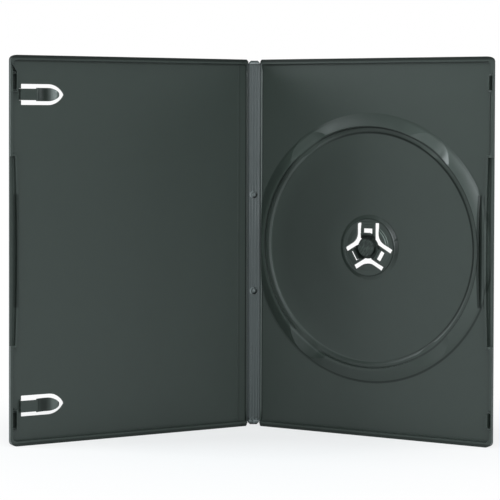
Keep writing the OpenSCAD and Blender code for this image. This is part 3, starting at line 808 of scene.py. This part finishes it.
def spine_shade(t):
    """Painted highlight on the lip with painted shade under it, a worn foot, a painted dark left edge and
    the gate marks' painted shade and light.
    """
    shares = [
        speckled_foot(t),
        # painted shade on the spine's left edge
        line_share(t, 1, 5.6, 6.6, (-1, CASE_TOP + 1), 0.45),
        # painted highlight on the top lip, and painted shade in the line under it
        band_share(t, CASE_TOP - 2.1, CASE_TOP, 0.15, -0.2),
        band_share(t, CASE_TOP - LIP_LINE - 0.5, CASE_TOP - LIP_LINE, 0.15, 0.5),
        # lighter towards the bottom, then darker at the very foot and lighter just above it
        band_share(t, -60.0, 80.0, 70.0, -0.2),
        band_share(t, 0.0, 1.3, 0.3, 0.45),
        band_share(t, 1.3, 2.8, 0.5, -0.3),
    ]
    for height in GATE_HEIGHTS:
        shares += gate_shares(t, height)
    return product(t, shares)


spine_plastic = satin_plastic("spine_plastic", SPINE_LIT_GREY, 0.36, spine_shade, rubs=0.8)
print("gate marks at heights", [round(h * 1000) for h in GATE_HEIGHTS], "mm")

# %% [markdown]
# ## The tray's plastic
# The tray has the most edges: the pad under the disc's middle with its two small steps, the floor
# of the well, the ledge that the disc's rim lies on, the wall of the well, and the ring that
# slopes away outside it. Every edge gets a painted light side and a painted dark side. The radii
# are the CAD model's, and each painted line is placed from one of them. The pad and the well
# come first.

# %% Lines of the pad and the well
SEAT_R = 10.2
STEP_R = 11.3
PAD_R = 14.4
PAD_FOOT_R = 16.4
FLOOR_R = 57.8
WELL_R = 60.7


def pad_shares(t):
    """Painted shade and light on the edge and the slope of the pad, and on the small steps on it."""
    return [
        hub_ring(t, PAD_R - 0.3, PAD_R + 0.3, 0.12, 0.45),
        hub_ring(t, PAD_R + 0.4, PAD_FOOT_R + 0.4, 0.2, 0.72, base=-0.9, to_right=1.6, to_top=0.3),
        hub_ring(t, PAD_R - 0.2, PAD_R + 1.0, 0.2, -0.3, base=-0.2, to_right=-1.2),
        hub_ring(t, PAD_R + 1.1, PAD_FOOT_R + 0.4, 0.3, 0.18, base=-0.2, to_right=-1.2),
        hub_ring(t, SEAT_R + 0.1, SEAT_R + 0.55, 0.1, -3.0, base=-0.35, to_right=1.2, to_top=0.7),
        hub_ring(t, STEP_R + 0.1, STEP_R + 0.5, 0.1, -2.2, base=-0.35, to_right=1.2, to_top=0.7),
    ]


def well_shares(t):
    """Painted shade and light on the well's floor, its ledge and its wall."""
    return [
        hub_ring(t, PAD_FOOT_R + 0.6, FLOOR_R - 0.6, 9.0, 0.16, base=-0.1, to_right=-1.1),
        hub_ring(t, FLOOR_R - 0.7, FLOOR_R + 0.6, 0.3, 0.62, base=0.5, to_right=0.65, to_top=0.3),
        hub_ring(t, FLOOR_R - 0.8, FLOOR_R + 0.3, 0.3, -0.35, base=-0.3, to_right=-1.0, to_top=-0.8),
        hub_ring(t, FLOOR_R + 0.7, WELL_R + 0.6, 0.3, 0.18, base=-0.2, to_right=-1.2),
        hub_ring(t, FLOOR_R - 0.8, WELL_R, 0.3, 0.22, base=-0.4, to_top=1.3),
        hub_ring(t, WELL_R - 0.8, WELL_R + 0.4, 0.3, 0.55, base=0.6, to_right=0.4, to_top=0.25),
    ]


print("well of", 2 * WELL_R, "mm with a floor of", 2 * FLOOR_R, "mm")

# %% [markdown]
# Outside the well lies the raised ring, cut by four scoops for the fingertips. Each scoop tilts
# another way, so each takes its own share of painted light, at its angle round the hub. The
# fore-edge has the thumb recess, whose rib and channel show as painted light and dark lines.

# %% Lines of the ring and the fore-edge
RING_R = 67.5
SCOOP_GAIN = {125: 0.5, 55: 0.25, 232: 0.08, 308: 0.04}
SCOOP_NARROW = 16


def scoop_light(t, angle, gain):
    """Extra light where a scoop cuts the ring, at an angle round the hub."""
    at = math.radians(angle)
    return hub_ring(
        t, FLOOR_R - 0.8, RING_R - 1.1, 0.5, -gain, base=0.9 - SCOOP_NARROW,
        to_right=SCOOP_NARROW * math.cos(at), to_top=SCOOP_NARROW * math.sin(at))


def ring_shares(t):
    """Painted shade and light on the crest, the slope and the foot of the raised ring, and its scoops."""
    shares = [
        hub_ring(t, WELL_R + 0.5, WELL_R + 1.6, 0.3, -0.4, base=-0.2, to_right=-1.0, to_top=-0.5),
        hub_ring(t, WELL_R + 1.8, RING_R - 0.7, 0.4, 0.12, base=-0.2, to_right=-1.2),
        hub_ring(t, WELL_R + 0.2, RING_R - 0.7, 0.4, -0.32, base=-0.5, to_right=1.2, to_top=0.5),
        hub_ring(t, RING_R - 0.3, RING_R + 1.1, 0.35, 0.45, base=0.3, to_right=0.3, to_top=-0.7),
    ]
    return shares + [scoop_light(t, angle, gain) for angle, gain in SCOOP_GAIN.items()]


def tray_edge_shares(t):
    """Painted light and dark lines along the thumb recess and the fore-edge."""
    thumb = heights_round(CASE_TOP / 2, 56)
    lip = heights_round(CASE_TOP / 2, 96)
    return [
        line_share(t, 1, FORE_EDGE - 8.85, FORE_EDGE - 6.65, thumb, 0.55),
        line_share(t, 1, FORE_EDGE - 6.65, FORE_EDGE - 5.75, thumb, -0.25),
        line_share(t, 1, FORE_EDGE - 5.85, FORE_EDGE - 5.05, thumb, 0.35),
        line_share(t, 1, FORE_EDGE - 2.85, FORE_EDGE - 2.05, lip, 0.25),
        line_share(t, 1, FORE_EDGE - 2.05, FORE_EDGE - 0.55, lip, -0.4),
    ]


print("scoops at", list(SCOOP_GAIN), "degrees round the hub")

# %% [markdown]
# All the tray's lines are multiplied together. One material with masks is used here, rather than
# a material for each face, because the lines cross faces of a single moulding.

# %% Material: tray
def tray_shade(t):
    """Painted shade and light on the rims, the tray's fold, and every line round the hub and along the
    fore-edge.
    """
    shares = [rim_shade(t), fold_groove(t, 1), fold_bead(t, 1)]
    return product(t, shares + pad_shares(t) + well_shares(t) + ring_shares(t) + tray_edge_shares(t))


tray_plastic = satin_plastic("tray_plastic", CASE_GREY, 0.36, tray_shade)
print("tray plastic:", len(tray_plastic.node_tree.nodes), "nodes")

# %% [markdown]
# Each solid now gets the plastic of its own part. The spine, the covers, the clips and the hub
# are one moulding, so the plastics differ only in grain, wear, the spine's painted paler colour
# and their painted light and dark lines.

# %% Which plastic goes where
plastic_of = {
    "front_cover": cover_plastic, "back_cover": tray_plastic, "spine": spine_plastic,
    "booklet_clip_upper": clip_plastic, "booklet_clip_lower": clip_plastic, "hub_button": button_plastic,
    "hub_finger_top": hub_plastic, "hub_finger_left": hub_plastic, "hub_finger_right": hub_plastic,
}
for name, node in nodes.items():
    node.data.materials.clear()
    node.data.materials.append(plastic_of[name])
print({name: m.name for name, m in plastic_of.items()})

# %% [markdown]
# ## Softened edges
# A steel mould never leaves a knife edge. A Bevel on the solid itself would find no edges to
# round, because a CAD mesh is loose triangles. So each solid is copied, and the copy is merged
# and rounded. First comes the choice of edges. Shallow creases are only marked as sharp, so that
# flat faces stay flat. Tiny facets, and the short edges at the fold corners, are left as they
# are, because a bevel there makes spikes.

# %% Which edges are rounded
CREASE = math.radians(9)
SHARP = math.radians(28)
STEEP = math.radians(65)
FACET = 0.25 * MM
FOLD_CORNER_X = 6.5 * MM
FOLD_CORNER_Z = 1.6 * MM


def weigh_edges(bm):
    """Marks which edges the bevel rounds, and which creases stay sharp without it."""
    weight = bm.edges.layers.float.new("bevel_weight_edge")
    for edge in bm.edges:
        angle = edge.calc_face_angle(0)
        middle = (edge.verts[0].co + edge.verts[1].co) / 2
        facet = edge.calc_length() < FACET and angle < STEEP
        at_end = min(middle.z, CASE_H - middle.z) < FOLD_CORNER_Z
        fold_corner = abs(middle.x) < FOLD_CORNER_X and at_end
        edge.smooth = not CREASE < angle < SHARP
        edge[weight] = 0.0 if angle < SHARP or facet or fold_corner else 1.0


print("edges that turn by more than", round(math.degrees(SHARP)), "degrees are rounded")

# %% [markdown]
# The merged copy stands in for its solid. On the large solids the flat triangles are melted
# together too, so that the bevel runs along whole edges. It rounds them by about a tenth of a
# millimetre, which gives the fine light lines along the rims, the ring and the hub.

# %% Soften the solids
MERGE = 0.001 * MM
FLAT = math.radians(0.5)
LARGE_EDGES = {"front_cover": 0.13, "back_cover": 0.13, "spine": 0.17}
SMALL_EDGE = 0.11
soft = {}


def soften(name, width, melt):
    """A merged and rounded copy of one CAD node, which stands in for it; melt joins its flat triangles."""
    mesh = nodes[name].data.copy()
    mesh.name = name + "_soft"
    bm = bmesh.new()
    bm.from_mesh(mesh)
    bmesh.ops.remove_doubles(bm, verts=bm.verts, dist=MERGE)
    if melt:
        bmesh.ops.dissolve_limit(
            bm, angle_limit=FLAT, verts=bm.verts, edges=bm.edges, delimit={"NORMAL"})
    for face in bm.faces:
        face.smooth = True
    weigh_edges(bm)
    bm.to_mesh(mesh)
    bm.free()
    if "custom_normal" in mesh.attributes:
        mesh.attributes.remove(mesh.attributes["custom_normal"])
    obj = bpy.data.objects.new(name + "_soft", mesh)
    scene.collection.objects.link(obj)
    bevel = obj.modifiers.new("soft_edges", "BEVEL")
    bevel.width = width
    bevel.segments = 2
    bevel.offset_type = "WIDTH"
    bevel.limit_method = "WEIGHT"
    bevel.use_clamp_overlap = False
    even = obj.modifiers.new("even_shading", "WEIGHTED_NORMAL")
    even.keep_sharp = True
    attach(obj, nodes[name]["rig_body"])
    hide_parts(name)
    soft[name] = obj


for name in nodes:
    soften(name, LARGE_EDGES.get(name, SMALL_EDGE) * MM, name in LARGE_EDGES)
print("softened", {name: len(obj.data.polygons) for name, obj in soft.items()})

# %% [markdown]
# ## The flexing folds
# Between the spine and each cover the real case has a web that flexes. It swells to a soft bead
# beside the fold line, so two dark grooves with a light line between them run up the case. The
# web is as thin as card, so it is drawn as one section, with its bead as a half ellipse.

# %% Section of a fold web
BEAD_STEPS = 10


def web_section():
    """Section of a fold web on the flat drawing: X from the fold line, Z above the folds."""
    bead_x, bead_half, bead_top = 0.5 * MM, 0.34 * MM, 0.42 * MM
    low, under = 0.21 * MM, 0.05 * MM
    turns = [math.pi * i / BEAD_STEPS for i in range(BEAD_STEPS + 1)]
    top = [(bead_x - bead_half * math.cos(a), low + (bead_top - low) * math.sin(a)) for a in turns]
    end = FOLD_EDGE + 0.1 * MM
    return top + [(end, low), (end, under), (bead_x - bead_half, under)]


print("web section:", len(web_section()), "points")

# %% [markdown]
# Each web is one smooth mesh, swept up the case from this section and closed at both ends.

# %% Fold webs
WEB_GAP = 0.8 * MM
WEB_ROWS = 24


def mesh_object(name, verts, faces, material):
    """A mesh with its normals turned outward and smooth shading."""
    mesh = bpy.data.meshes.new(name)
    mesh.from_pydata([tuple(v) for v in verts], [], faces)
    mesh.materials.append(material)
    obj = bpy.data.objects.new(name, mesh)
    scene.collection.objects.link(obj)
    bpy.context.view_layer.objects.active = obj
    obj.select_set(True)
    bpy.ops.object.mode_set(mode="EDIT")
    bpy.ops.mesh.select_all(action="SELECT")
    bpy.ops.mesh.normals_make_consistent(inside=False)
    bpy.ops.object.mode_set(mode="OBJECT")
    obj.select_set(False)
    mesh.shade_smooth()
    return obj


def fold_web(name, side):
    """The web of one fold, from bottom to top of the case."""
    section = web_section()
    levels = [WEB_GAP + (CASE_H - 2 * WEB_GAP) * i / WEB_ROWS for i in range(WEB_ROWS + 1)]
    verts = [on_cover(x, level, z, side) for level in levels for x, z in section]
    count = len(section)
    faces = []
    for row in range(len(levels) - 1):
        for i in range(count):
            j = (i + 1) % count
            a, b = row * count, (row + 1) * count
            faces.append((a + i, a + j, b + j, b + i))
    faces.append(tuple(range(count)))
    faces.append(tuple((len(levels) - 1) * count + i for i in reversed(range(count))))
    web = mesh_object(name, verts, faces, fold_plastic)
    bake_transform(web)
    return web


webs = [fold_web("fold_web_front", -1), fold_web("fold_web_back", 1)]
print("fold webs:", [len(w.data.polygons) for w in webs], "faces")

# %% [markdown]
# ## Fine flutes on the spine
# The spine carries fine lines that run its whole length, left by the cutter that made the
# mould. They could be copied by hand, but a geometry group repeats one thin rod across the spine
# and its inputs say how many there are and how far apart. The rods lie almost wholly inside the
# spine, so that only a low, rounded crest of each stands out.

# %% Geometry group: flutes
ROD_SIDES = 12


def flute_group(material):
    """Thin upright rods in a row, joined to one mesh."""
    g = bpy.data.node_groups.new("spine_flutes", "GeometryNodeTree")
    add_socket(g, "Count", "NodeSocketInt", "INPUT", 4, 1, 40)
    add_socket(g, "Pitch", "NodeSocketFloat", "INPUT", 1.0 * MM, 0.0, 0.1)
    add_socket(g, "Length", "NodeSocketFloat", "INPUT", 0.18, 0.0, 1.0)
    add_socket(g, "Radius", "NodeSocketFloat", "INPUT", 0.2 * MM, 0.0, 0.01)
    add_socket(g, "Geometry", "NodeSocketGeometry", "OUTPUT")
    gi = add_node(g, "NodeGroupInput")
    go = add_node(g, "NodeGroupOutput")
    rod = add_node(g, "GeometryNodeMeshCylinder", {
        "Vertices": ROD_SIDES, "Radius": gi.outputs["Radius"], "Depth": gi.outputs["Length"]})
    half = math_node(g, "MULTIPLY", gi.outputs["Pitch"], -0.5)
    gaps = math_node(g, "SUBTRACT", gi.outputs["Count"], 1.0)
    first = add_node(g, "ShaderNodeCombineXYZ", {"X": math_node(g, "MULTIPLY", half, gaps)})
    step = add_node(g, "ShaderNodeCombineXYZ", {"X": gi.outputs["Pitch"]})
    row = add_node(g, "GeometryNodeMeshLine", {
        "Count": gi.outputs["Count"], "Start Location": first.outputs[0],
        "Offset": step.outputs[0]}, mode="OFFSET")
    rods = add_node(g, "GeometryNodeInstanceOnPoints", {
        "Points": row.outputs["Mesh"], "Instance": rod.outputs["Mesh"]})
    real = add_node(g, "GeometryNodeRealizeInstances", {"Geometry": rods.outputs["Instances"]})
    paint = add_node(g, "GeometryNodeSetMaterial", {
        "Geometry": real.outputs["Geometry"], "Material": material})
    g.links.new(paint.outputs["Geometry"], go.inputs["Geometry"])
    return g


FLUTES = flute_group(spine_plastic)
show_group(FLUTES)

# %% [markdown]
# The group runs once, on an empty object, and its result is kept as a plain mesh, because the
# export drops instances. Its inputs are set by their identifiers, which stay the same when a
# socket gets another name.

# %% Flutes
def made_by_nodes(name, group, place, **values):
    """Runs a geometry group once and keeps its result as a plain mesh."""
    obj = bpy.data.objects.new(name, bpy.data.meshes.new(name))
    scene.collection.objects.link(obj)
    modifier = obj.modifiers.new("made", "NODES")
    modifier.node_group = group
    for item in group.interface.items_tree:
        if item.in_out == "INPUT" and item.name in values:
            modifier[item.identifier] = values[item.name]
    bpy.context.view_layer.update()
    mesh = bpy.data.meshes.new_from_object(obj.evaluated_get(bpy.context.evaluated_depsgraph_get()))
    obj.modifiers.remove(modifier)
    obj.data = mesh
    mesh.transform(Matrix.Translation(place))
    mesh.shade_smooth()
    print(name, len(mesh.polygons), "faces")
    return obj


SPINE_GAP = 0.5 * MM
LIP_END = 2.1 * MM
FLUTE_PITCH = 1.45 * MM
FLUTE_RADIUS = 0.35 * MM
FLUTE_RISE = 0.05 * MM
flute_length = CASE_H - 2 * (SPINE_GAP + LIP_END)
flutes = made_by_nodes(
    "spine_flutes", FLUTES,
    Vector((0, spine_front + FLUTE_RADIUS - FLUTE_RISE, CASE_H / 2)),
    Count=4, Pitch=FLUTE_PITCH, Length=flute_length, Radius=FLUTE_RADIUS)
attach(flutes, "spine")

# %% [markdown]
# ## Gate marks
# The plastic was fed into the mould through two small gates in the spine. Each left a round
# dimple with a torn nub in it. A sphere would look too clean, so the nub is a low dome built ring
# by ring, with a wobble in its outline and a tilt in its height that differ between the two.

# %% Shape of a nub
DIMPLE_R = 1.95 * MM
DIMPLE_DEPTH = 0.35 * MM
NUB_R = DIMPLE_R * 0.7
NUB_RISE = 0.5 * MM
NUB_SUNK = 0.1 * MM
NUB_RINGS = 8
NUB_SPOKES = 28
dimple_floor = spine_front + DIMPLE_DEPTH


def nub_points(height, seed):
    """Rings of points up to the tip, and then the ring under them that closes the nub."""
    spokes = [2 * math.pi * s / NUB_SPOKES for s in range(NUB_SPOKES)]
    points = []
    for ring in range(NUB_RINGS + 1):
        r = NUB_R * (1 - ring / NUB_RINGS)
        rise = NUB_RISE * math.sin(math.pi / 2 * ring / NUB_RINGS) ** 0.8
        for a in spokes if ring < NUB_RINGS else spokes[:1]:
            wobble = 1 + 0.10 * math.sin(3 * a + seed) + 0.06 * math.sin(5 * a - 2 * seed)
            lift = rise * (1 + 0.35 * math.sin(a + seed))
            points.append((r * wobble * math.cos(a), dimple_floor - lift, height + r * math.sin(a)))
    sunk = dimple_floor + NUB_SUNK
    return points + [(NUB_R * math.cos(a), sunk, height + NUB_R * math.sin(a)) for a in spokes]


def nub_faces():
    """Faces between the rings, round the tip, down the side and across the underside."""
    tip = NUB_RINGS * NUB_SPOKES
    under = tip + 1
    faces = []
    for s in range(NUB_SPOKES):
        after = (s + 1) % NUB_SPOKES
        for ring in range(NUB_RINGS - 1):
            low, high = ring * NUB_SPOKES, (ring + 1) * NUB_SPOKES
            faces.append((low + s, low + after, high + after, high + s))
        faces.append((high + s, high + after, tip))
        faces.append((under + s, under + after, after, s))
    faces.append(tuple(under + s for s in reversed(range(NUB_SPOKES))))
    return faces


print("nub:", len(nub_faces()), "faces")

# %% [markdown]
# Both nubs use the same points and faces. Only the seed differs, which turns the wobble and the
# tilt another way.

# %% Gate marks
def gate_mark(name, height, seed):
    """A low, uneven dome in a dimple of the spine."""
    mark = mesh_object(name, nub_points(height, seed), nub_faces(), spine_plastic)
    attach(mark, "spine")
    return mark


marks = [gate_mark("gate_mark_upper", GATE_HEIGHTS[0], 0.6),
         gate_mark("gate_mark_lower", GATE_HEIGHTS[1], 2.1)]
print("gate marks:", [m.name for m in marks])
